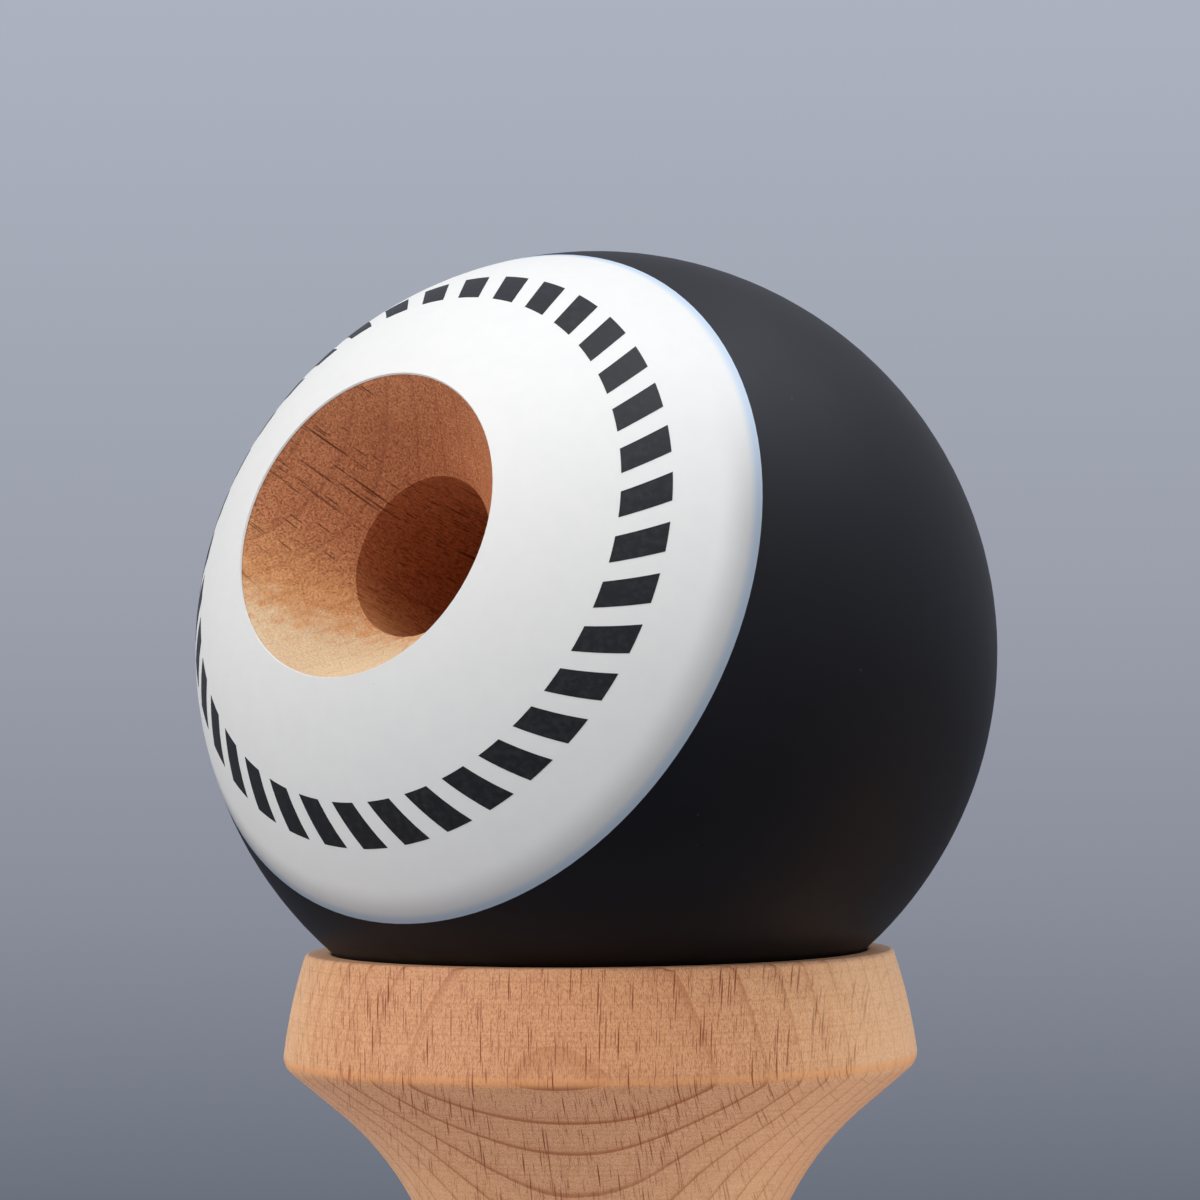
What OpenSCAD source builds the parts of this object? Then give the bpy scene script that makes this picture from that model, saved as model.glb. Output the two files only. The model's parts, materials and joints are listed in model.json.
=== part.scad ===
// Kendama: a cross piece with two cups, a handle with a base cup and a spike, and a drilled ball.
// The toy stands on the rim of its small cup, with the ball seated in the big cup above.
// Z is the axis of the cross piece, X is the axis of the handle, and Z = 0 is the small cup's rim.

/* [Ball] */
// Diameter of the painted ball
ball_d = 60; // [56:0.5:64]
// Thickness of the paint on the ball
coat_t = 0.15; // [0.1:0.05:0.6]
// Gap between the paint and the wood
paint_gap = 0.03; // [0.02:0.01:0.06]
// Diameter of the bevelled mouth of the hole, on the ball's surface
mouth_d = 23.3; // [20:0.1:25]
// Diameter of the straight bore that takes the spike
bore_d = 12.4; // [11:0.1:14]
// Depth of the bevel below the plane of the mouth
bevel_depth = 6.7; // [5:0.1:8]
// Depth of the bore's floor below the plane of the mouth
bore_depth = 40; // [34:0.5:44]
// Depth of the cone that the drill leaves under the bore's floor
drill_cone = 3; // [1:0.1:4]
// Half angle of the pale cap round the hole, seen from the ball's centre, in degrees
cap_angle = 60; // [50:1:70]
// Turn of the hole to the left of the front, in degrees
hole_turn = 39.5; // [0:0.1:60]
// Rise of the hole's axis above level, in degrees
hole_rise = 20; // [5:0.1:40]

/* [Cups] */
// Outer diameter of the big cup at its rim
big_rim_d = 44; // [42:0.2:46]
// Outer diameter of the base cup at its rim
base_rim_d = 42; // [40:0.2:44]
// Outer diameter of the small cup at its rim
small_rim_d = 39.6; // [38:0.2:42]
// How far the lower edge of a cup's band stands out past its rim
band_flare = 1.8; // [1:0.1:3]
// Height of the band round a cup
band_h = 8.3; // [6:0.1:10]
// Radius of the gentle bulge of the band
band_bulge_r = 39; // [25:1:80]
// Slope of the underside of a cup against its axis, in degrees
taper_angle = 50; // [40:0.1:58]
// Rounding of the lower edge of the band
edge_round = 1.5; // [0.6:0.1:2]
// Rounding of both edges of the rim
rim_round = 0.4; // [0.2:0.05:0.6]
// Width of the rim
rim_w = 1.9; // [1.6:0.1:3]
// How much smaller the radius of a cup's hollow is than the ball's, which keeps the ball on the rim
dish_relief = 4; // [2:0.5:7]
// Gap between the ball and the rim that it rests on
seat_gap = 0.12; // [0.05:0.01:0.3]

/* [Cross piece] */
// Length of the cross piece from rim to rim
cross_l = 70; // [68:0.5:80]
// Diameter of the waist of the cross piece
waist_d = 23.3; // [22:0.1:26]
// Radius of the curve from a cup's underside into the waist
waist_curve_r = 22.5; // [16:0.1:25]

/* [Handle] */
// Distance from the cross piece's axis to the rim of the base cup
base_reach = 105; // [100:0.5:115]
// Distance from the cross piece's axis to the tip of the spike
spike_reach = 63; // [58:0.5:70]
// Diameter of the handle's neck, next to the base cup
neck_d = 17.6; // [16:0.1:20]
// Radius of the curve from the base cup's underside into the neck
neck_curve_r = 24; // [18:0.5:28]
// Diameter of the grip at the fullest part of its swell
grip_d = 20.8; // [20:0.1:23]
// Radius of the swell of the grip
grip_swell_r = 300; // [200:10:400]
// Diameter of the handle in the middle of the cross piece
seat_d = 14; // [13:0.1:15.5]
// Slope of the tapered seat in the cross piece, in degrees
seat_slope = 1.4; // [0.8:0.1:2]
// Slope of the shoulder under the seat against the handle's axis, in degrees
shoulder_angle = 46; // [35:1:70]
// Gap between the shoulder and the waist of the cross piece
shoulder_gap = 0.15; // [0.1:0.05:0.5]
// Diameter of the rounded tip of the spike
tip_d = 6.6; // [5:0.1:8]
// Gap between the tapered seat and its hole
seat_fit = 0.06; // [0.03:0.01:0.1]

/* [String holes] */
// Diameter of the string hole through the cross piece and the handle
cross_string_d = 3; // [2:0.1:4]
// Diameter of the string hole at the back of the ball
ball_string_d = 3.4; // [2:0.1:4.5]
// Width of the bevel at the mouths of the string holes
string_bevel = 0.7; // [0.3:0.1:1.2]

/* [Hidden] */
$fn = 128;
// Steps round a full circle where a long shallow curve is only a short piece of it
long_fn = 720;
// Overshoot of a cutting shape past the surface that it cuts
past = 2;
// Overlap of two curves that run smoothly into each other
hair = 0.002;
// Overlap of two profiles inside the wood where they join
lap = 1;

ball_r = ball_d / 2;
coat_r = ball_r - coat_t;
core_r = coat_r - paint_gap;
dish_r = ball_r - dish_relief;
mouth_r = mouth_d / 2;
bore_r = bore_d / 2;
mouth_z = sqrt(ball_r ^ 2 - mouth_r ^ 2);
bevel_z = mouth_z - bevel_depth;
floor_z = mouth_z - bore_depth;
ball_string_r = ball_string_d / 2;
string_exit_z = -sqrt(ball_r ^ 2 - (ball_string_r + string_bevel) ^ 2);

waist_r = waist_d / 2;
neck_r = neck_d / 2;
grip_r = grip_d / 2;
seat_r = seat_d / 2;
tip_r = tip_d / 2;
cross_string_r = cross_string_d / 2;

// Height of a hollow's centre above the rim, and the middle of the rounding inside that rim
function dish_z(rim_d) = sqrt(dish_r ^ 2 - (rim_d / 2 - rim_w) ^ 2);
function lip_x(rim_d) = sqrt((dish_r + rim_round) ^ 2 - (dish_z(rim_d) + rim_round) ^ 2);

// Height of the rim above the end of the curve under a cup, where the stem is straight
function cup_l(rim_d, stem_r, curve_r) =
    band_h + (rim_d / 2 + band_flare - curve_x(stem_r, curve_r)) / tan(taper_angle)
    + curve_r * sin(taper_angle);

// Radius at which the curve leaves the slope of the underside
function curve_x(stem_r, curve_r) = stem_r + curve_r * (1 - cos(taper_angle));

// Middle of a circle of radius r through two points, on the right of the way from a to b
function arc_middle(a, b, r) =
    let (half = (b - a) / 2, rise = sqrt(r ^ 2 - half * half) / norm(half))
    a + half + rise * [half.y, -half.x];

// Point on a circle round c, in the direction of p
function on_circle(c, r, p) = c + (p - c) * r / norm(p - c);

// Middle of a rounding between the band's bulge and the slope that leaves corner
function edge_middle(bulge, corner, slope, inward) =
    let (
        start = corner + edge_round * inward - bulge,
        along = start * slope,
        reach = band_bulge_r - edge_round
    )
    start + bulge - (along + sqrt(along ^ 2 - start * start + reach ^ 2)) * slope;

// Height of the ball's centre above the big cup's rim, and of both axes above the floor
ball_rise = sqrt((ball_r + rim_round + seat_gap) ^ 2 - lip_x(big_rim_d) ^ 2) - rim_round;
ball_z = cross_l + ball_rise;
small_l = cup_l(small_rim_d, waist_r, waist_curve_r);
big_l = cup_l(big_rim_d, waist_r, waist_curve_r);
handle_z = (small_l + cross_l - big_l) / 2;

// Half section of a cup, with its rim at Y = 0 and its stem downwards
module cup_section(rim_d, stem_r, curve_r) {
    rim = [rim_d / 2, 0];
    corner = rim + [band_flare, -band_h];
    slope = [-sin(taper_angle), -cos(taper_angle)];
    inward = [-cos(taper_angle), sin(taper_angle)];
    bulge = arc_middle(rim, corner, band_bulge_r);
    edge = edge_middle(bulge, corner, slope, inward);
    outer_reach = band_bulge_r - rim_round;
    outer = [bulge.x + sqrt(outer_reach ^ 2 - (bulge.y + rim_round) ^ 2), -rim_round];
    dish = [0, dish_z(rim_d)];
    lip = [lip_x(rim_d), -rim_round];
    stem_y = -cup_l(rim_d, stem_r, curve_r);
    curve = [stem_r + curve_r, stem_y];
    slope_end = curve + curve_r * inward;
    band_low = on_circle(bulge, band_bulge_r, edge);
    band_high = on_circle(bulge, band_bulge_r, outer);
    lip_low = on_circle(dish, dish_r, lip);
    outside = corner.x + past;
    difference() {
        union() {
            intersection() {
                polygon([
                    [0, band_low.y], [outside, band_low.y], [outside, band_high.y], band_high,
                    [outer.x, 0], [lip.x, 0], lip_low, [0, lip_low.y]
                ]);
                translate(bulge) circle(band_bulge_r);
            }
            polygon([
                [0, stem_y], [slope_end.x, stem_y], slope_end, edge - edge_round * inward,
                band_low, [0, band_low.y]
            ]);
            translate(edge) circle(edge_round);
            translate(outer) circle(rim_round);
            translate(lip) circle(rim_round);
        }
        translate(dish) circle(dish_r);
        translate(curve + [hair, 0]) circle(curve_r + hair);
    }
}

// Radius of the tapered seat at a distance from the cross piece's axis, towards the base cup
function seat_at(x) = seat_r + x * tan(seat_slope);

// Half section of the handle along Y, with the base cup upwards and the cross piece's axis at Y = 0
module handle_section() {
    shoulder = [seat_at(waist_r + shoulder_gap), waist_r + shoulder_gap];
    shoulder_end = shoulder + grip_r * [sin(shoulder_angle), cos(shoulder_angle)];
    stem_y = base_reach - cup_l(base_rim_d, neck_r, neck_curve_r);
    curve = [neck_r + neck_curve_r, stem_y];
    both_r = neck_curve_r + grip_swell_r;
    swell = [grip_r - grip_swell_r, stem_y - sqrt(both_r ^ 2 - (both_r - grip_r + neck_r) ^ 2)];
    meet = on_circle(swell, grip_swell_r, curve);
    tip_y = tip_r - spike_reach;
    translate([0, base_reach]) cup_section(base_rim_d, neck_r, neck_curve_r);
    difference() {
        polygon([[0, meet.y], meet, [meet.x, stem_y], [0, stem_y]]);
        translate(curve) circle(neck_curve_r);
    }
    intersection() {
        polygon([
            [0, shoulder.y], shoulder, shoulder_end,
            [shoulder_end.x, meet.y + lap], [0, meet.y + lap]
        ]);
        translate(swell) circle(grip_swell_r + hair, $fn = long_fn);
    }
    polygon([
        [0, tip_y], [tip_r, tip_y], [seat_at(-waist_r), -waist_r], shoulder, [0, shoulder.y]
    ]);
    intersection() {
        translate([0, tip_y]) circle(tip_r);
        translate([0, -spike_reach]) square([tip_r, tip_r]);
    }
}

// Half section of the ball's hole, with its mouth upwards
module hole_section() {
    spread = (mouth_r - bore_r) / bevel_depth;
    top_z = ball_r + past;
    polygon([
        [0, floor_z - drill_cone], [bore_r, floor_z], [bore_r, bevel_z],
        [bore_r + spread * (top_z - bevel_z), top_z], [0, top_z]
    ]);
    translate([0, -ball_r - past]) square([ball_string_r, ball_r + past + floor_z]);
    polygon([
        [0, string_exit_z + string_bevel], [ball_string_r, string_exit_z + string_bevel],
        [ball_string_r + string_bevel + past, string_exit_z - past], [0, string_exit_z - past]
    ]);
}

// Half section of the ball's paint between two angles from the hole's axis
module coat_section(from, to) {
    far = 2 * ball_r;
    difference() {
        intersection() {
            circle(ball_r);
            polygon(concat(
                [[0, 0]],
                [for (angle = [from, (from + to) / 2, to]) far * [sin(angle), cos(angle)]]
            ));
        }
        circle(coat_r);
        hole_section();
    }
}

// Places the ball in the big cup with its hole turned as it rests
module in_cup() {
    translate([0, 0, ball_z]) rotate([0, 90 - hole_rise, -90 - hole_turn]) children();
}

// Straight hole for the string, along Y through the middle of the waist, with bevelled mouths
module string_hole() {
    bevel_h = string_bevel + past;
    translate([0, 0, handle_z]) rotate([90, 0, 0]) {
        cylinder(h = waist_d + 2 * past, r = cross_string_r, center = true);
        for (side = [0, 1]) mirror([0, 0, side]) translate([0, 0, waist_r - string_bevel])
            cylinder(h = bevel_h, r1 = cross_string_r, r2 = cross_string_r + bevel_h);
    }
}

module cross_piece() {
    color("burlywood") difference() {
        rotate_extrude() {
            translate([0, cross_l]) cup_section(big_rim_d, waist_r, waist_curve_r);
            mirror([0, 1]) cup_section(small_rim_d, waist_r, waist_curve_r);
            translate([0, small_l]) square([waist_r, cross_l - big_l - small_l]);
        }
        translate([0, 0, handle_z]) rotate([0, 90, 0]) seat_hole();
        string_hole();
    }
}

// Tapered hole for the handle, along Z
module seat_hole() {
    reach = waist_r + past;
    translate([0, 0, -reach])
        cylinder(h = 2 * reach, r1 = seat_at(-reach) + seat_fit, r2 = seat_at(reach) + seat_fit);
}

module handle() {
    color("burlywood") difference() {
        translate([0, 0, handle_z]) rotate([0, 90, 0]) rotate_extrude() handle_section();
        string_hole();
    }
}

module ball_core() {
    color("peru") in_cup() rotate_extrude() difference() {
        intersection() {
            circle(core_r);
            translate([0, -ball_r]) square([ball_r, ball_d]);
        }
        hole_section();
    }
}

module ball_cap() {
    color("white") in_cup() rotate_extrude() coat_section(0, cap_angle);
}

module ball_coat() {
    color("dimgray") in_cup() rotate_extrude() coat_section(cap_angle, 180);
}

cross_piece();
handle();
ball_core();
ball_cap();
ball_coat();
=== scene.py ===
"""Looks of a turned kendama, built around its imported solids: finishes, print, camera, light and floor."""
import json
import math

import bmesh
import bpy
from mathutils import Matrix, Vector


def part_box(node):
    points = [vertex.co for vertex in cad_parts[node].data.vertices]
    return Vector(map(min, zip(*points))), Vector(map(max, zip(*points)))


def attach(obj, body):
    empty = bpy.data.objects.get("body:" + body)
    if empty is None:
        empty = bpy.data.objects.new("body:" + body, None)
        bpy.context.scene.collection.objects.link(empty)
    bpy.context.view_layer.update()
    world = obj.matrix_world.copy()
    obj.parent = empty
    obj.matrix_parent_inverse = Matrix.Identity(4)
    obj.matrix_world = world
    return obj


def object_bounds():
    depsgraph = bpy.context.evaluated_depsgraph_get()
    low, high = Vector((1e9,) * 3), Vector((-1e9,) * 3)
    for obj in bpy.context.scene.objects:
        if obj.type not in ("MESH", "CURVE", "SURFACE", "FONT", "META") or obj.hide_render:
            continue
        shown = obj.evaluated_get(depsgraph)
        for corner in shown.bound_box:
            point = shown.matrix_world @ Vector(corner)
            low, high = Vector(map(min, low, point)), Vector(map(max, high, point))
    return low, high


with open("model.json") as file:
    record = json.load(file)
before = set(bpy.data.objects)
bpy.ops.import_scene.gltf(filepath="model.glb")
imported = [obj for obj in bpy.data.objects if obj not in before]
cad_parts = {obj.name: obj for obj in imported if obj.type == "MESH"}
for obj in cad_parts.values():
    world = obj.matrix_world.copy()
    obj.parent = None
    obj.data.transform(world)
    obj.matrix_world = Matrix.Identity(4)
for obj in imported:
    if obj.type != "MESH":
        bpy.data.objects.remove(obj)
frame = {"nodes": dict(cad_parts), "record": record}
cad_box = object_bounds()

MM = 0.001
MM_PER_M = 1000.0
UP = Vector((0, 0, 1))
SCENE = bpy.context.scene

# Camera, as the photograph was taken: level and far away, with a slight roll
PHOTO_SIDE_PX = 1200
FOCAL_PX = 5827
SENSOR_MM = 36.0
CAMERA_BACK = 437.0 * MM
CAMERA_RISE = 3.87 * MM
CAMERA_ASIDE = 0.3 * MM
CAMERA_ROLL = math.radians(0.55)

# Paint edge and print on the ball, as angles from the hole's axis
CAP_EDGE = math.radians(60.0)
PRINT_INNER = math.radians(40.3)
PRINT_OUTER = math.radians(47.3)
PRINT_COUNT = 36
PRINT_SHARE = 0.58
PRINT_SLANT = 0.5
PRINT_PROUD = 0.02 * MM
PRINT_SUNK = 0.06 * MM
PRINT_STEPS = 5

# Marks at the white paint's edge, a bluish line and painted shade along the edge's lower side, in
# millimetres from that edge or above the ball's centre
EDGE_LINE = (0.2, 1.0)
EDGE_LINE_SHARE = 0.6
EDGE_SHADE_WIDTH = 3.4
EDGE_SHADE_SHARE = 0.45
EDGE_SHADE_ENDS = (8.0, 20.0)

# Dust on the paints: its spacing and size in millimetres, and the share of places that have a speck
WHITE_DUST = {"spacing": 3.0, "size": 0.12, "share": 0.35}
BLACK_DUST = {"spacing": 2.4, "size": 0.1, "share": 0.3}
SPECK_CORE = 0.4

# Noise in the paints and the ink, as waves in a millimetre, and the depth of their fine relief
WHITE_MOTTLE_SCALE = 0.6
WHITE_TOOTH_SCALE = 4.0
WHITE_RELIEF = 0.003 * MM
BLACK_CLOUD_SCALE = 0.15
BLACK_TOOTH_SCALE = 6.0
BLACK_RELIEF = 0.006 * MM
INK_WEAR_SCALE = 2.0

# Mean of a noise, the stretch round it that most of it lies in, and the roughness at that stretch's ends
NOISE_MEAN = 0.5
NOISE_MIDDLE = (0.3, 0.7)
WOOD_ROUGHNESS = (0.5, 0.62)
WHITE_ROUGHNESS = (0.5, 0.52)
BLACK_ROUGHNESS = (0.56, 0.6)
INK_ROUGHNESS = (0.45, 0.6)

# Growth of the wood, in millimetres: the pith lies outside the piece, and the rings wander a little
PITH_AWAY = 140.0
RING_STEP = 2.1
RINGS = (-23.35, -20.2, -17.7, -15.3)
GRAIN_REACH = 30.0
WANDER = 1.6

# Directions in each piece of wood: along its fibre, and roughly towards the bark
CROSS_FIBRE = UP
CROSS_BARK = Vector((0.12, 0.99, 0))
HANDLE_FIBRE = Vector((1, 0, 0))
HANDLE_BARK = Vector((0, 0.6, 0.8))
BALL_BARK = Vector((0.54, -0.674, -0.504))

# How far the painted light in the hole's wood, pale on its lit lower side and warm in the shade above,
# leans along the hole's axis
HOLE_LEAN = 0.5

# Most that a share times the rest of one comes to
BETWEEN_PEAK = 0.25

# Noise in the wood: waves in a millimetre, and how far they are drawn out along the fibre
WANDER_SCALE = 0.05
PATCH_SCALE = 0.12
LATHE_SCALE = 5.0
STREAK_SCALE = 1.4
STREAK_STRETCH = 14.0
FIBRE_STRETCH = 4.5

# Where in a year, a noise or a slope each mark of the wood grows, and how strong or deep it gets
LATE_WOOD = (0.6, 1.0)
LATE_WOOD_SHARE = 0.25
RING_LINE = (0.87, 0.96)
RING_LINE_SHARE = 0.7
RING_SLOPE = (0.0, 0.6)
RAY_SLOPE = (0.1, 0.7)
RAY_LEAST = 0.25
RAY_CORE = 0.1
FINE_RAY_SHARE = 0.75
END_SLOPE = (0.3, 1.0)
PATCHES = (0.35, 0.7)
PATCH_SHARE = 0.4
FIBRES = (0.45, 0.65)
FUZZ = (0.4, 0.66)
LATHE_LINES = (0.45, 0.7)
PORE_DEPTH = 0.6
RAY_DEPTH = 0.5

# Painted highlights: orange lines at the cups' band edges where the edge catches the light, in millimetres
# along the cross piece and along the handle
CROSS_EDGE_HIGHLIGHTS = (8.0, 62.0)
HANDLE_EDGE_HIGHLIGHTS = (97.0,)
EDGE_HIGHLIGHT_FADE = (0.1, 0.5)
EDGE_HIGHLIGHT_SHARE = 0.5

# Floor, in metres, with its noise in waves in a metre
FLOOR_RADIUS = 0.35
FLOOR_FADE = 0.18
FLOOR_SIDES = 128
FLOOR_GRAIN_SCALE = 40.0

# Lamps: the way to each from the ball, its width in metres, its watts, its colour and if it is mirrored
LAMP_DISTANCE = 0.8
LAMPS = {
    "key": ((-0.35, -0.3, 0.88), 0.6, 2.75, (1.0, 0.99, 0.975), True),
    "top": ((0.45, 0.08, 0.88), 0.5, 2.65, (0.86, 0.92, 1.0), True),
    "left": ((-0.82, -0.35, 0.45), 0.5, 3.2, (1.0, 0.985, 0.96), True),
    "fill": ((0.75, -0.62, 0.2), 0.8, 2.7, (1.0, 0.99, 0.98), False),
}
AMBIENT = (0.21, 0.212, 0.216, 1.0)

# Places of a mix node's colour sockets
MIX_SHARE = 0
MIX_FIRST = 6
MIX_SECOND = 7
MIX_RESULT = 2


def srgb(red, green, blue):
    """Colour for a shader from the 0 to 255 values of a screen."""
    def linear(value):
        share = value / 255
        return share / 12.92 if share <= 0.04045 else ((share + 0.055) / 1.055) ** 2.4
    return (linear(red), linear(green), linear(blue), 1.0)


class Graph:
    """Adds nodes to a node tree. A value is a number, a colour, a vector or another node's output."""

    def __init__(self, tree):
        self.tree = tree
        tree.nodes.clear()

    def put(self, socket, value):
        if isinstance(value, bpy.types.NodeSocket):
            self.tree.links.new(value, socket)
        else:
            socket.default_value = value

    def add(self, kind, inputs=None, **settings):
        node = self.tree.nodes.new(kind)
        for name, value in settings.items():
            setattr(node, name, value)
        for socket, value in (inputs or {}).items():
            self.put(node.inputs[socket], value)
        return node

    def math(self, operation, *values):
        node = self.add("ShaderNodeMath", dict(enumerate(values)), operation=operation)
        return node.outputs["Value"]

    def vector(self, operation, *values):
        node = self.add("ShaderNodeVectorMath", dict(enumerate(values)), operation=operation)
        return node.outputs["Vector"]

    def dot(self, place, axis):
        node = self.add("ShaderNodeVectorMath", {0: place, 1: axis}, operation="DOT_PRODUCT")
        return node.outputs["Value"]

    def join(self, x, y, z):
        return self.add("ShaderNodeCombineXYZ", {"X": x, "Y": y, "Z": z}).outputs["Vector"]

    def rise(self, value, low, high, start=0.0, end=1.0):
        """Runs smoothly from start to end while value goes from low to high."""
        inputs = {"Value": value, "From Min": low, "From Max": high, "To Min": start, "To Max": end}
        node = self.add("ShaderNodeMapRange", inputs, interpolation_type="SMOOTHSTEP")
        return node.outputs["Result"]

    def noise(self, place, scale, detail=2.0, roughness=0.5):
        inputs = {"Vector": place, "Scale": scale, "Detail": detail, "Roughness": roughness}
        return self.add("ShaderNodeTexNoise", inputs).outputs["Fac"]

    def cells(self, place, scale):
        """Distance to the nearest scattered point, and a random number of that point."""
        node = self.add("ShaderNodeTexVoronoi", {"Vector": place, "Scale": scale})
        parts = self.add("ShaderNodeSeparateColor", {"Color": node.outputs["Color"]})
        return node.outputs["Distance"], parts.outputs["Red"]

    def picked(self, chance, share):
        """One for about a share of the random numbers, with a soft step down to nothing for the rest."""
        return self.rise(chance, 1 - share, 1 - share / 2)

    def mix(self, share, first, second):
        inputs = {MIX_SHARE: share, MIX_FIRST: first, MIX_SECOND: second}
        return self.add("ShaderNodeMix", inputs, data_type="RGBA").outputs[MIX_RESULT]

    def bump(self, height, depth):
        inputs = {"Height": height, "Distance": depth, "Strength": 1.0}
        return self.add("ShaderNodeBump", inputs).outputs["Normal"]

    def principled(self, inputs):
        return self.add("ShaderNodeBsdfPrincipled", inputs).outputs["BSDF"]

    def surface(self, shader):
        self.add("ShaderNodeOutputMaterial", {"Surface": shader})


def new_material(name):
    material = bpy.data.materials.new(name)
    material.use_nodes = True
    return material, Graph(material.node_tree)


def place_in_mm(graph, centre=Vector()):
    """Place on the piece in millimetres, measured from a centre given in metres."""
    coordinates = graph.add("ShaderNodeTexCoord").outputs["Object"]
    from_centre = graph.vector("SUBTRACT", coordinates, centre)
    return graph.vector("MULTIPLY", from_centre, (MM_PER_M,) * 3)


def wood_cut(graph, place, fibre, bark):
    """Place in the tree in millimetres: its side round the pith, its depth in the rings, its way along."""
    slow = graph.noise(place, WANDER_SCALE)
    sway = graph.math("MULTIPLY", graph.math("SUBTRACT", slow, NOISE_MEAN), WANDER)
    out = graph.math("ADD", graph.dot(place, bark), PITH_AWAY)
    across = graph.dot(place, fibre.cross(bark))
    squares = [graph.math("POWER", value, 2.0) for value in (out, across)]
    reach = graph.math("SQRT", graph.math("ADD", *squares))
    depth = graph.math("ADD", graph.math("SUBTRACT", reach, PITH_AWAY), sway)
    side = graph.math("MULTIPLY", graph.math("DIVIDE", across, out), PITH_AWAY)
    return side, depth, graph.dot(place, fibre)


def along_fibre(graph, cut, scale, stretch, detail, roughness):
    """Noise that is drawn out along the fibre."""
    scales = (scale, scale, scale / stretch)
    spots = (graph.math("MULTIPLY", value, size) for value, size in zip(cut, scales))
    return graph.noise(graph.join(*spots), 1.0, detail, roughness)


def ring_count(graph, depth):
    """Number of growth rings up to a depth. The named rings lie at their own depths, the rest are even."""
    points = [(ring, number) for number, ring in enumerate(RINGS)]
    points.insert(0, (-GRAIN_REACH, (-GRAIN_REACH - RINGS[0]) / RING_STEP))
    points.append((GRAIN_REACH, len(RINGS) - 1 + (GRAIN_REACH - RINGS[-1]) / RING_STEP))
    low, high = points[0][1], points[-1][1]
    share = graph.math("DIVIDE", graph.math("ADD", depth, GRAIN_REACH), 2 * GRAIN_REACH)
    node = graph.add("ShaderNodeFloatCurve", {"Value": share})
    curve = node.mapping.curves[0]
    for depth_at, number in points[1:-1]:
        curve.points.new((depth_at + GRAIN_REACH) / (2 * GRAIN_REACH), (number - low) / (high - low))
    curve.points[0].location = (0, 0)
    curve.points[-1].location = (1, 1)
    for point in curve.points:
        point.handle_type = "VECTOR"
    node.mapping.update()
    scaled = graph.math("MULTIPLY", node.outputs["Value"], high - low)
    return graph.math("ADD", scaled, low)


def ring_marks(graph, depth):
    """Late wood that darkens through each year and ends in a thin line."""
    year = graph.math("FRACT", ring_count(graph, depth))
    late = graph.rise(year, *LATE_WOOD, end=LATE_WOOD_SHARE)
    line = graph.rise(year, *RING_LINE, end=RING_LINE_SHARE)
    return graph.math("ADD", late, line)


def flecks(graph, cut, ray):
    """Dark lens-shaped rays along the fibre. A ray has a spacing to the side, in depth and along."""
    spots = (graph.math("DIVIDE", value, step) for value, step in zip(cut, ray["spacing"]))
    distance, chance = graph.cells(graph.join(*spots), 1.0)
    body = graph.rise(distance, RAY_CORE, ray["reach"], 1.0, 0.0)
    return graph.math("MULTIPLY", body, graph.picked(chance, ray["share"]))


def wood_tone(graph, place, warmth_and_shade, grainy, end_grain, look):
    """Colour of the wood under its marks: light to warm through amber, a run that holds painted light and
    shade, with patches and end grain.
    """
    patches = graph.rise(graph.noise(place, PATCH_SCALE, detail=3.0), *PATCHES, end=PATCH_SHARE)
    between = graph.math("MULTIPLY", warmth_and_shade, graph.math("SUBTRACT", 1.0, warmth_and_shade))
    amber = graph.math("MULTIPLY", between, look["amber_share"] / BETWEEN_PEAK)
    colour = graph.mix(warmth_and_shade, look["light"], look["warm"])
    colour = graph.mix(amber, colour, look["amber"])
    colour = graph.mix(graph.math("MULTIPLY", patches, grainy), colour, look["patch"])
    return graph.mix(graph.rise(end_grain, *END_SLOPE, end=look["end_share"]), colour, look["end"])


def paint_edge_highlights(graph, colour, along, look):
    """Painted highlights: lines round the piece at the look's places, where a band edge catches the light.
    """
    for place in look["edge_highlights"]:
        away = graph.math("ABSOLUTE", graph.math("SUBTRACT", along, place))
        share = graph.rise(away, *EDGE_HIGHLIGHT_FADE, EDGE_HIGHLIGHT_SHARE, 0.0)
        colour = graph.mix(share, colour, look["painted_highlight"])
    return colour


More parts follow.
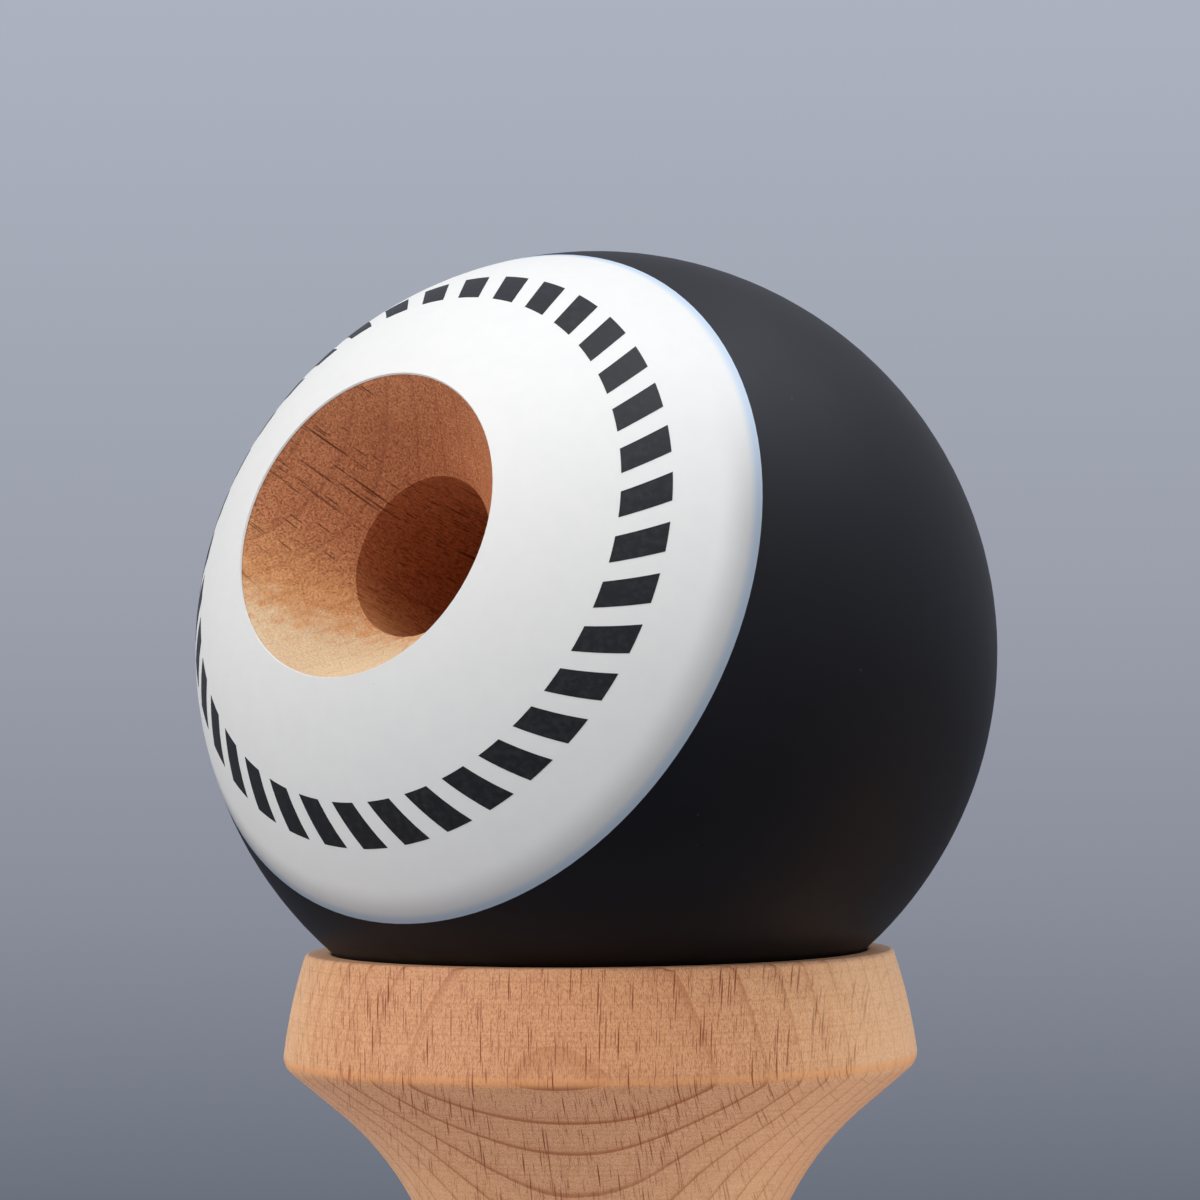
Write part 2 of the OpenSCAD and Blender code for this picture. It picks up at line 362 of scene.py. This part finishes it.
def beech(name, fibre, bark, centre, look):
    """Bare beech with its fibre along one axis. A look's scales are waves in a mm, its lengths mm."""
    material, graph = new_material(name)
    bark = (bark - bark.dot(fibre) * fibre).normalized()
    place = place_in_mm(graph, centre)
    cut = wood_cut(graph, place, fibre, bark)
    depth, along = cut[1:]
    normal = graph.add("ShaderNodeTexCoord").outputs["Normal"]
    end_grain = graph.math("ABSOLUTE", graph.dot(normal, fibre))
    to_bark = graph.math("ABSOLUTE", graph.dot(normal, bark))

    # Painted light and shade: the wood is pale on a look's lit side and warm on its shaded side, with a
    # ragged border along the streaks; on the turned wood the warm front is partly its figure
    streaks = along_fibre(graph, cut, STREAK_SCALE, STREAK_STRETCH, 2.0, 0.5)
    stray = graph.math("MULTIPLY", graph.math("SUBTRACT", streaks, NOISE_MEAN), look["stray"])
    warm_shaded_side = graph.math("ADD", graph.dot(place, look["warm_shaded_way"]), stray)
    warmth_and_shade = graph.rise(warm_shaded_side, *look["warm_shaded_from_to"])
    grainy = graph.rise(warmth_and_shade, 0.0, 1.0, look["calm_share"], 1.0)

    fibres = along_fibre(graph, cut, look["fibre_scale"], FIBRE_STRETCH, 3.0, 0.6)
    fuzz = graph.noise(place, look["fuzz_scale"], 4.0, 0.7)
    lathe = graph.noise(graph.join(0.0, 0.0, graph.math("MULTIPLY", along, LATHE_SCALE)), 1.0)
    turning = graph.rise(lathe, *LATHE_LINES, end=look["lathe_share"])
    dashes = graph.rise(fibres, *FIBRES, end=look["fibre_share"])
    dots = graph.rise(fuzz, *FUZZ, end=look["fuzz_share"])
    grain = graph.math("MAXIMUM", dashes, dots)
    ring_share = graph.rise(end_grain, *RING_SLOPE, look["ring_flat"], look["ring_end"])
    ring = graph.math("MULTIPLY", ring_marks(graph, depth), ring_share)
    ray_share = graph.math("MULTIPLY", graph.rise(to_bark, *RAY_SLOPE, RAY_LEAST, 1.0), grainy)
    strong = graph.math("MULTIPLY", flecks(graph, cut, look["strong_rays"]), ray_share)
    fine = graph.math("MULTIPLY", flecks(graph, cut, look["fine_rays"]), ray_share)

    colour = wood_tone(graph, place, warmth_and_shade, grainy, end_grain, look)
    for mark in (turning, grain, ring):
        colour = graph.mix(graph.math("MULTIPLY", mark, grainy), colour, look["ring"])
    # Painted highlights: thin orange lines where the band edges catch the light
    colour = paint_edge_highlights(graph, colour, along, look)
    colour = graph.mix(graph.math("MULTIPLY", fine, FINE_RAY_SHARE), colour, look["fleck"])
    colour = graph.mix(strong, colour, look["fleck"])

    pores = graph.math("MULTIPLY", fibres, PORE_DEPTH)
    rough = graph.math("ADD", pores, graph.math("MULTIPLY", fuzz, look["fuzz_share"]))
    cracks = graph.math("MULTIPLY", graph.math("MAXIMUM", strong, fine), RAY_DEPTH)
    height = graph.math("MULTIPLY", graph.math("ADD", rough, cracks), -1.0)
    graph.surface(graph.principled({
        "Base Color": colour,
        "Roughness": graph.rise(fibres, *NOISE_MIDDLE, *WOOD_ROUGHNESS),
        "Specular IOR Level": 0.3,
        "Normal": graph.bump(height, look["relief"] * MM),
    }))
    return material


def turned_look(edge_highlights):
    """Look of the pale turned wood, warmer at the front partly from its figure and partly as painted shade,
    with painted highlight lines at places along its fibre.
    """
    warm = srgb(232, 172, 128)
    return {
        "light": srgb(253, 208, 162), "warm": warm, "patch": warm,
        "amber": srgb(246, 188, 136), "amber_share": 0.3,
        "end": srgb(255, 204, 164), "end_share": 0.8,
        # Warm towards the front: partly the wood's figure, partly painted shade under the ball
        "warm_shaded_way": (-0.22, -0.97, 0), "warm_shaded_from_to": (6, 22),
        "stray": 10.0, "calm_share": 0.5,
        "ring": srgb(184, 114, 74), "ring_flat": 0.2, "ring_end": 1.0,
        "fibre_share": 0.85, "fibre_scale": 12.0,
        "fuzz_share": 0.35, "fuzz_scale": 6.0,
        "lathe_share": 0.3, "relief": 0.006,
        # Places and colour of the painted highlight lines at the band edges
        "edge_highlights": edge_highlights, "painted_highlight": srgb(255, 178, 116),
        "fleck": srgb(134, 56, 24),
        "strong_rays": {"spacing": (0.22, 6.0, 5.0), "reach": 0.37, "share": 0.62},
        "fine_rays": {"spacing": (0.14, 3.0, 2.3), "reach": 0.4, "share": 0.8},
    }


def drilled_look(ball):
    """Look of the rougher wood in the ball's hole, with painted light: pale along the hole's lit lower
    side, darker and warmer in the shade above.
    """
    return {
        "light": srgb(255, 230, 190), "warm": srgb(237, 159, 112), "patch": srgb(190, 112, 74),
        "amber": srgb(250, 172, 98), "amber_share": 0.65,
        "end": srgb(236, 172, 120), "end_share": 0.2,
        # Painted light and shade: pale below, where light falls into the hole, warm above, in its shade
        "warm_shaded_way": UP - HOLE_LEAN * ball["axis"], "warm_shaded_from_to": (-12, -1.5),
        "stray": 8.0, "calm_share": 0.3,
        "ring": srgb(152, 78, 48), "ring_flat": 0.3, "ring_end": 0.3,
        "fibre_share": 0.8, "fibre_scale": 7.0,
        "fuzz_share": 0.56, "fuzz_scale": 4.5,
        "lathe_share": 0.2, "relief": 0.26,
        # No painted highlight lines in the hole
        "edge_highlights": (),
        "fleck": srgb(130, 66, 40),
        "strong_rays": {"spacing": (0.3, 12.0, 7.0), "reach": 0.36, "share": 0.25},
        "fine_rays": {"spacing": (0.17, 5.0, 2.2), "reach": 0.36, "share": 0.35},
    }


def specks(graph, place, spacing, size, share):
    """Scattered dots of dust."""
    distance, chance = graph.cells(place, 1 / spacing)
    dot = graph.rise(distance, SPECK_CORE * size / spacing, size / spacing, 1.0, 0.0)
    return graph.math("MULTIPLY", dot, graph.picked(chance, share))


def white_paint(name, ball):
    """Satin white paint on the cap, bluish at its edge, with painted shade along the lower side of that
    edge.
    """
    material, graph = new_material(name)
    place = place_in_mm(graph, ball["centre"])
    turn = graph.math("ARCCOSINE", graph.dot(graph.vector("NORMALIZE", place), ball["axis"]))
    from_edge = graph.math("MULTIPLY", graph.math("SUBTRACT", CAP_EDGE, turn), ball["radius"] * MM_PER_M)
    mottle = graph.noise(place, WHITE_MOTTLE_SCALE, 4.0, 0.6)
    # Painted shade: the white darkens towards its edge on the ball's lower side, and not on its upper side
    low_side = graph.rise(graph.dot(place, UP), *EDGE_SHADE_ENDS, 1.0, 0.0)
    painted_edge_shade = graph.rise(from_edge, 0.0, EDGE_SHADE_WIDTH, EDGE_SHADE_SHARE, 0.0)
    line = graph.rise(from_edge, *EDGE_LINE, EDGE_LINE_SHARE, 0.0)
    colour = graph.mix(graph.rise(mottle, *NOISE_MIDDLE), srgb(234, 234, 233), srgb(232, 232, 232))
    colour = graph.mix(line, colour, srgb(165, 198, 232))
    colour = graph.mix(graph.math("MULTIPLY", painted_edge_shade, low_side), colour, srgb(40, 40, 52))
    colour = graph.mix(specks(graph, place, **WHITE_DUST), colour, srgb(196, 196, 196))
    graph.surface(graph.principled({
        "Base Color": colour,
        "Roughness": graph.rise(mottle, *NOISE_MIDDLE, *WHITE_ROUGHNESS),
        "Specular IOR Level": 0.35,
        "Normal": graph.bump(graph.noise(place, WHITE_TOOTH_SCALE, 3.0), WHITE_RELIEF),
    }))
    return material


def black_paint(name, ball):
    """Dull black rubber paint with a fine tooth and a little dust."""
    material, graph = new_material(name)
    place = place_in_mm(graph, ball["centre"])
    tooth = graph.noise(place, BLACK_TOOTH_SCALE, 3.0, 0.6)
    cloud = graph.noise(place, BLACK_CLOUD_SCALE, 3.0)
    colour = graph.mix(graph.rise(cloud, 0.35, 0.65), srgb(5, 5, 7), srgb(8, 8, 10))
    colour = graph.mix(specks(graph, place, **BLACK_DUST), colour, srgb(62, 62, 66))
    graph.surface(graph.principled({
        "Base Color": colour,
        "Roughness": graph.rise(cloud, *NOISE_MIDDLE, *BLACK_ROUGHNESS),
        "Specular IOR Level": 0.4,
        "Specular Tint": (0.97, 0.93, 1.0, 1.0),
        "Normal": graph.bump(tooth, BLACK_RELIEF),
    }))
    return material


def print_ink(name):
    """Thin black ink, a little worn and uneven."""
    material, graph = new_material(name)
    wear = graph.noise(place_in_mm(graph), INK_WEAR_SCALE, 4.0, 0.65)
    graph.surface(graph.principled({
        "Base Color": graph.mix(graph.rise(wear, 0.4, 0.75), srgb(28, 28, 31), srgb(44, 44, 48)),
        "Roughness": graph.rise(wear, *NOISE_MIDDLE, *INK_ROUGHNESS),
        "Specular IOR Level": 0.35,
    }))
    return material


def floor_finish(name):
    """Pale matt floor that is clear towards its edge, from below and in mirror images."""
    material, graph = new_material(name)
    place = graph.add("ShaderNodeTexCoord").outputs["Object"]
    away = graph.add("ShaderNodeVectorMath", {0: place}, operation="LENGTH").outputs["Value"]
    grain = graph.noise(place, FLOOR_GRAIN_SCALE, 3.0)
    solid = graph.principled({
        "Base Color": graph.mix(grain, srgb(184, 187, 193), srgb(190, 193, 199)),
        "Roughness": 0.8,
        "Specular IOR Level": 0.1,
    })
    clear = graph.add("ShaderNodeBsdfTransparent").outputs["BSDF"]
    from_below = graph.add("ShaderNodeNewGeometry").outputs["Backfacing"]
    mirrored = graph.add("ShaderNodeLightPath").outputs["Is Glossy Ray"]
    fade = graph.math("MAXIMUM", graph.rise(away, FLOOR_FADE, FLOOR_RADIUS), from_below)
    fade = graph.math("MAXIMUM", fade, mirrored)
    graph.surface(graph.add("ShaderNodeMixShader", {0: fade, 1: solid, 2: clear}).outputs["Shader"])
    return material


def measure_ball():
    """Centre, radius and hole axis of the ball, with two directions square to that axis."""
    boxes = [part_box(node) for node in ("ball_cap", "ball_coat")]
    low = Vector(map(min, boxes[0][0], boxes[1][0]))
    high = Vector(map(max, boxes[0][1], boxes[1][1]))
    bore = next(mount for mount in frame["record"]["mounts"] if mount["name"] == "ball_bore")
    axis = Vector(bore["axis"]).normalized()
    right = (Vector((1, 0, 0)) - axis.x * axis).normalized()
    return {
        "centre": (low + high) / 2, "radius": (high.z - low.z) / 2,
        "axis": axis, "right": right, "up": axis.cross(right),
    }


def on_ball(ball, turn, angle, proud):
    """Point on the ball at a turn from the hole's axis and an angle round it."""
    ring = math.cos(angle) * ball["right"] + math.sin(angle) * ball["up"]
    outward = math.cos(turn) * ball["axis"] + math.sin(turn) * ring
    return ball["centre"] + (ball["radius"] + proud) * outward


def add_plate(mesh, outer, inner):
    """Closed thin plate between two grids of points with equal rows and columns."""
    grids = [[[mesh.verts.new(point) for point in row] for row in grid] for grid in (outer, inner)]
    rows, columns = len(outer), len(outer[0])
    for grid, flip in zip(grids, (False, True)):
        for row in range(rows - 1):
            for column in range(columns - 1):
                corners = [
                    grid[row][column], grid[row][column + 1],
                    grid[row + 1][column + 1], grid[row + 1][column],
                ]
                mesh.faces.new(corners[::-1] if flip else corners)
    edge = [(0, column) for column in range(columns)]
    edge += [(row, columns - 1) for row in range(1, rows)]
    edge += [(rows - 1, column) for column in reversed(range(columns - 1))]
    edge += [(row, 0) for row in reversed(range(1, rows - 1))]
    top, low = grids
    for (row, column), (next_row, next_column) in zip(edge, edge[1:] + edge[:1]):
        mesh.faces.new([
            top[next_row][next_column], top[row][column], low[row][column], low[next_row][next_column],
        ])


def add_object(name, mesh, finish):
    """New object from a finished bmesh, with its material."""
    data = bpy.data.meshes.new(name)
    mesh.to_mesh(data)
    mesh.free()
    data.materials.append(finish)
    piece = bpy.data.objects.new(name, data)
    SCENE.collection.objects.link(piece)
    return piece


def make_print(ball):
    """Ring of even slanted bars on the cap."""
    mesh = bmesh.new()
    pitch = 2 * math.pi / PRINT_COUNT
    steps = [step / PRINT_STEPS for step in range(PRINT_STEPS + 1)]

    def grid(number, proud):
        def point(row, column):
            turn = PRINT_INNER + row * (PRINT_OUTER - PRINT_INNER)
            angle = pitch * (number + PRINT_SHARE * column + PRINT_SLANT * row)
            return on_ball(ball, turn, angle, proud)
        return [[point(row, column) for column in steps] for row in steps]

    for number in range(PRINT_COUNT):
        add_plate(mesh, grid(number, PRINT_PROUD), grid(number, -PRINT_SUNK))
    bmesh.ops.recalc_face_normals(mesh, faces=mesh.faces)
    piece = add_object("cap_print", mesh, print_ink("print_ink"))
    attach(piece, "ball")


def dress(node, finish):
    """Gives a solid its finish."""
    materials = frame["nodes"][node].data.materials
    materials.clear()
    materials.append(finish)


def make_floor():
    """Pale disc that the toy stands on."""
    mesh = bmesh.new()
    bmesh.ops.create_circle(mesh, cap_ends=True, segments=FLOOR_SIDES, radius=FLOOR_RADIUS)
    floor = add_object("floor", mesh, floor_finish("floor"))
    floor.location.z = cad_box[0].z


def make_world():
    """Soft even light, and a grey-blue backdrop, darker downwards, for what is seen or mirrored."""
    world = bpy.data.worlds.new("backdrop")
    SCENE.world = world
    world.use_nodes = True
    graph = Graph(world.node_tree)
    half_view = math.sin(math.atan(PHOTO_SIDE_PX / 2 / FOCAL_PX))
    direction = graph.add("ShaderNodeTexCoord").outputs["Generated"]
    inputs = {"Value": graph.dot(direction, UP), "From Min": -half_view, "From Max": half_view}
    share = graph.add("ShaderNodeMapRange", inputs).outputs["Result"]
    ramp = graph.add("ShaderNodeValToRGB", {"Fac": share})
    stops = {
        0.0: srgb(106, 112, 124), 0.25: srgb(138, 142, 155),
        0.5: srgb(155, 159, 172), 1.0: srgb(172, 178, 191),
    }
    elements = ramp.color_ramp.elements
    while len(elements) < len(stops):
        elements.new(0.5)
    for element, (position, colour) in zip(elements, stops.items()):
        element.position = position
        element.color = colour
    path = graph.add("ShaderNodeLightPath").outputs
    seen = graph.math("MAXIMUM", path["Is Camera Ray"], path["Is Glossy Ray"])
    seen = graph.math("MAXIMUM", seen, path["Is Transmission Ray"])
    shown = graph.add("ShaderNodeBackground", {"Color": ramp.outputs["Color"], "Strength": 1.0})
    ambient = graph.add("ShaderNodeBackground", {"Color": AMBIENT, "Strength": 1.0})
    both = {0: seen, 1: ambient.outputs["Background"], 2: shown.outputs["Background"]}
    mixed = graph.add("ShaderNodeMixShader", both).outputs["Shader"]
    graph.add("ShaderNodeOutputWorld", {"Surface": mixed})


def make_lights(ball):
    """Square lamps that face the ball and stay out of the camera's sight."""
    for name, (way, width, watts, colour, mirrored) in LAMPS.items():
        lamp = bpy.data.lights.new(name, "AREA")
        lamp.size = width
        lamp.energy = watts
        lamp.color = colour
        box = bpy.data.objects.new(name, lamp)
        SCENE.collection.objects.link(box)
        towards = Vector(way).normalized()
        box.location = ball["centre"] + LAMP_DISTANCE * towards
        box.rotation_euler = towards.to_track_quat("Z", "Y").to_euler()
        box.visible_camera = False
        box.visible_glossy = mirrored


def make_camera(ball):
    """Camera in front of the ball, level, with the photograph's field of view."""
    data = bpy.data.cameras.new("camera")
    data.sensor_fit = "HORIZONTAL"
    data.sensor_width = SENSOR_MM
    data.lens = SENSOR_MM * FOCAL_PX / PHOTO_SIDE_PX
    camera = bpy.data.objects.new("camera", data)
    SCENE.collection.objects.link(camera)
    spot = ball["centre"] + Vector((CAMERA_ASIDE, -CAMERA_BACK, CAMERA_RISE))
    level = Matrix.Rotation(math.pi / 2, 4, "X")
    camera.matrix_world = Matrix.Translation(spot) @ level @ Matrix.Rotation(-CAMERA_ROLL, 4, "Z")
    SCENE.camera = camera


def main():
    SCENE.view_settings.view_transform = "Standard"
    ball = measure_ball()
    cross_look = turned_look(CROSS_EDGE_HIGHLIGHTS)
    handle_look = turned_look(HANDLE_EDGE_HIGHLIGHTS)
    dress("cross_piece", beech("cross_beech", CROSS_FIBRE, CROSS_BARK, Vector(), cross_look))
    dress("handle", beech("handle_beech", HANDLE_FIBRE, HANDLE_BARK, Vector(), handle_look))
    dress("ball_core", beech("ball_beech", ball["axis"], BALL_BARK, ball["centre"], drilled_look(ball)))
    dress("ball_cap", white_paint("white_paint", ball))
    dress("ball_coat", black_paint("black_paint", ball))
    make_print(ball)
    make_floor()
    make_world()
    make_lights(ball)
    make_camera(ball)


main()
